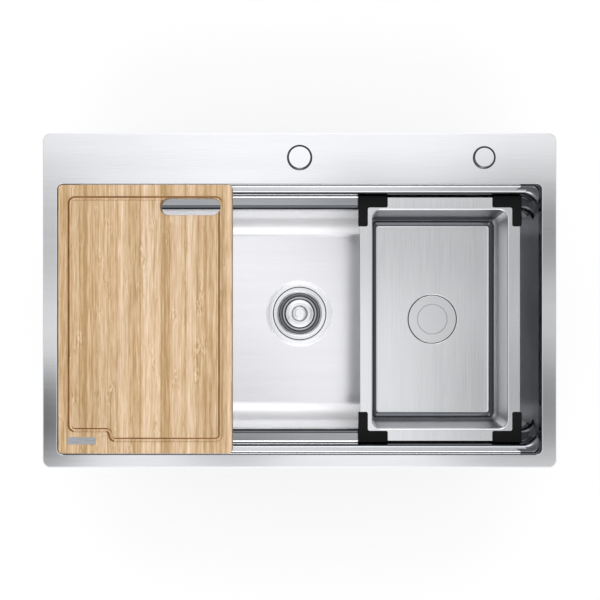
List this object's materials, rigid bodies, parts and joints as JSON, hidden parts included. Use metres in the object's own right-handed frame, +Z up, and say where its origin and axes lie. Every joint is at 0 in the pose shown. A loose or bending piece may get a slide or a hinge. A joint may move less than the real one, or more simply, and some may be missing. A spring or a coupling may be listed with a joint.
{
  "type": "kitchen sink",
  "caption": "Top-mounted stainless steel kitchen sink: a stepped bowl that carries a sliding bamboo board and a sliding basin, with a lift-out basket strainer and covered deck holes.",
  "frame": {"origin": "the middle of the deck, at the underside of the rim seal, where it meets the worktop", "axes": "+X along the sink to its right end, +Y towards the wall behind it, +Z up"},
  "size_m": [0.768, 0.5, 0.3352],
  "materials": {
    "deck_steel": "fine straight brushing along the length, satin",
    "bowl_steel": "fine brushed satin, slightly soft at the bends",
    "basin_steel": "fine brushed satin",
    "cover_steel": "satin face, turned edge",
    "drain_steel": "polished pressed steel",
    "knob_steel": "polished, turned in circles",
    "badge_steel": "bare brushed plate",
    "fixing_steel": "dull zinc-plated",
    "seal_foam": "closed-cell foam",
    "gasket_rubber": "moulded rubber",
    "pad_rubber": "textured damping sheet",
    "guard_plastic": "black, finely grained",
    "fitting_plastic": "white moulded plastic",
    "washer_nylon": "natural nylon",
    "bamboo": "oiled laminated bamboo strips"
  },
  "bodies": {
    "sink": {"deck": "deck_steel", "bowl": "bowl_steel", "rim_seal": "seal_foam", "mounting_channels": "fixing_steel", "clips": "fixing_steel", "clip_screws": "fixing_steel", "sound_pads": "pad_rubber", "strainer_body": "drain_steel", "strainer_gasket": "gasket_rubber", "friction_washer": "washer_nylon", "lock_nut": "fitting_plastic", "tail_washer": "gasket_rubber", "slip_nut": "fitting_plastic", "tailpiece": "fitting_plastic"},
    "tap_cover": {"tap_hole_cover": "cover_steel", "tap_cover_gasket": "seal_foam"},
    "side_cover": {"side_hole_cover": "cover_steel", "side_cover_gasket": "seal_foam"},
    "basket": {"strainer_basket": "drain_steel", "basket_seal": "gasket_rubber", "basket_post": "drain_steel", "basket_cap": "drain_steel", "basket_knob": "knob_steel"},
    "board": {"chopping_board": "bamboo", "badge_plate": "badge_steel"},
    "basin": {"basin_pan": "basin_steel", "guard_front_left": "guard_plastic", "guard_front_right": "guard_plastic", "guard_back_left": "guard_plastic", "guard_back_right": "guard_plastic", "basin_outlet": "fitting_plastic", "basin_gasket": "gasket_rubber", "basin_nut": "fitting_plastic"},
    "basin_cover": {"basin_drain_cover": "cover_steel", "cover_feet": "gasket_rubber"}
  },
  "joints": [
    {"name": "board_slide", "type": "slide", "parent": "sink", "child": "board", "axis": [1, 0, 0], "range_m": [0, 0.461]},
    {"name": "basin_slide", "type": "slide", "parent": "sink", "child": "basin", "axis": [1, 0, 0], "range_m": [-0.43, 0.004]},
    {"name": "basket_lift", "type": "slide", "parent": "sink", "child": "basket", "axis": [0, 0, 1], "range_m": [0, 0.3]},
    {"name": "basin_cover_lift", "type": "slide", "parent": "basin", "child": "basin_cover", "axis": [0, 0, 1], "range_m": [0, 0.085]},
    {"name": "tap_cover_lift", "type": "slide", "parent": "sink", "child": "tap_cover", "axis": [0, 0, 1], "range_m": [0, 0.06]},
    {"name": "side_cover_lift", "type": "slide", "parent": "sink", "child": "side_cover", "axis": [0, 0, 1], "range_m": [0, 0.06]}
  ]
}
